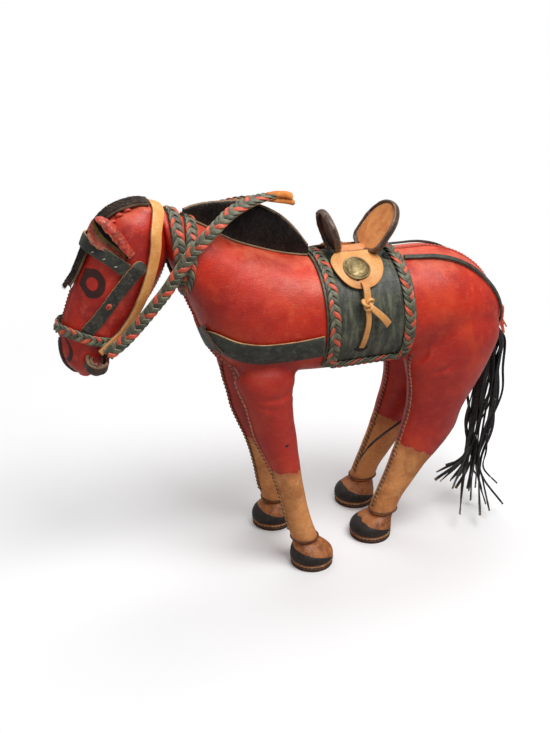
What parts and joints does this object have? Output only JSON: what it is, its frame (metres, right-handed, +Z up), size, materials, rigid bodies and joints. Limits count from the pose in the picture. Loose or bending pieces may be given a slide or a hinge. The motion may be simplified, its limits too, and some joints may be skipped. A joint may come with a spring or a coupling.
{
  "type": "leather horse figurine",
  "caption": "Standing stuffed leather horse with bridle, braided reins, saddle on a braid-edged blanket, upright mane and a tail of cut strips that swings.",
  "frame": {"origin": "on the ground plane under the middle of the bounding box", "axes": "+Z up, the horse faces -X, its left side looks towards -Y"},
  "size_m": [0.2942, 0.0884, 0.238],
  "materials": {
    "red_leather": "dyed red-orange leather with a soft sheen, crimson in the folds",
    "tan_leather": "undyed tan leather, matt with darker handling marks",
    "dark_leather": "green-black leather with pale cut edges",
    "saddle_leather": "light tan smooth leather with a suede back",
    "rim_leather": "dark brown rolled leather, semi-gloss",
    "braid_leather": "flat braids of olive-grey and red-orange leather strips",
    "stuffing": "packed fibre stuffing",
    "armature_wire": "plain iron wire",
    "hair_hide": "hair-on hide, black to dark brown",
    "brass": "domed brass, worn satin",
    "tail_leather": "black leather strips with pale cut ends",
    "sole_leather": "dark brown leather, matt"
  },
  "bodies": {
    "horse": {"bit_ring_left": "dark_leather", "bit_ring_right": "dark_leather", "blanket": "dark_leather", "blanket_edging": "braid_leather", "body_skin_left": "red_leather", "body_skin_right": "red_leather", "body_stuffing": "stuffing", "breast_collar": "dark_leather", "breast_keeper": "dark_leather", "browband": "dark_leather", "cantle": "saddle_leather", "cantle_rim": "rim_leather", "cheek_strap_left": "dark_leather", "cheek_strap_right": "dark_leather", "collar_braid": "braid_leather", "concho_left": "brass", "concho_right": "brass", "crown_braid": "braid_leather", "crupper": "dark_leather", "ear_left": "red_leather", "ear_right": "red_leather", "forelock": "hair_hide", "front_leg_left_cord": "sole_leather", "front_leg_left_hoof": "tan_leather", "front_leg_left_sock": "tan_leather", "front_leg_left_sole": "sole_leather", "front_leg_left_upper": "red_leather", "front_leg_right_cord": "sole_leather", "front_leg_right_hoof": "tan_leather", "front_leg_right_sock": "tan_leather", "front_leg_right_sole": "sole_leather", "front_leg_right_upper": "red_leather", "front_leg_wire": "armature_wire", "head_skin_left": "red_leather", "head_skin_right": "red_leather", "head_stuffing": "stuffing", "hind_leg_left_cord": "sole_leather", "hind_leg_left_hoof": "tan_leather", "hind_leg_left_sock": "tan_leather", "hind_leg_left_sole": "sole_leather", "hind_leg_left_upper": "red_leather", "hind_leg_right_cord": "sole_leather", "hind_leg_right_hoof": "tan_leather", "hind_leg_right_sock": "tan_leather", "hind_leg_right_sole": "sole_leather", "hind_leg_right_upper": "red_leather", "hind_leg_wire": "armature_wire", "lace_left": "saddle_leather", "lace_right": "saddle_leather", "mane": "hair_hide", "noseband": "braid_leather", "poll_strap": "tan_leather", "pommel": "rim_leather", "rein_left": "braid_leather", "rein_right": "braid_leather", "saddle_seat": "saddle_leather"},
    "tail_root": {"tail_dock": "red_leather", "tail_strip_forward": "tail_leather"},
    "tail_fan": {"tail_strips": "tail_leather"}
  },
  "joints": [
    {"name": "tail_lift", "type": "hinge", "parent": "horse", "child": "tail_root", "pos_m": [0.1325, 0.00331, 0.145], "axis": [0, -1, 0], "range_deg": [0, 50]},
    {"name": "tail_sway", "type": "hinge", "parent": "tail_root", "child": "tail_fan", "pos_m": [0.13834, 0.00157, 0.1302], "axis": [1, 0, 0], "range_deg": [-12, 12]}
  ]
}
